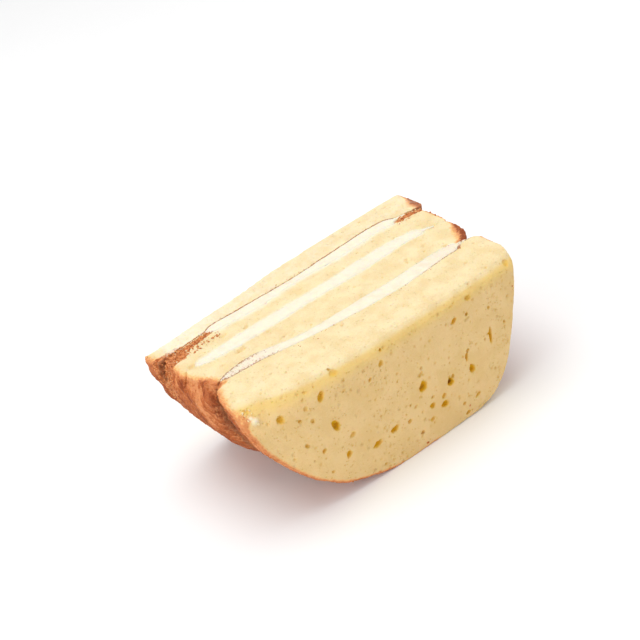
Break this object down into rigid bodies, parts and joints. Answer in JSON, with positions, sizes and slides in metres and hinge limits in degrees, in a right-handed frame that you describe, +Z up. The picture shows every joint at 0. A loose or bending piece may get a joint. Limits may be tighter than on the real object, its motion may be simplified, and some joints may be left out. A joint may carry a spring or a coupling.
{
  "type": "cream cake",
  "caption": "Half of a round layered sponge cake filled with cream, standing on its browned rim with the knife cut upward.",
  "frame": {"origin": "on the surface that the cake stands on, under the middle of its bounding box", "axes": "+X along the knife cut, towards the end with the squarer lower corner; +Y from the bubbly front slice to the back slice; +Z up, out of the knife cut"},
  "size_m": [0.124, 0.0762, 0.0497],
  "materials": {
    "sponge": "matte",
    "cream": "satin"
  },
  "bodies": {
    "root": {"back_sponge": "sponge", "back_cream": "cream", "inner_back_sponge": "sponge", "middle_cream": "cream", "inner_front_sponge": "sponge", "front_cream": "cream", "front_sponge": "sponge"}
  },
  "joints": []
}
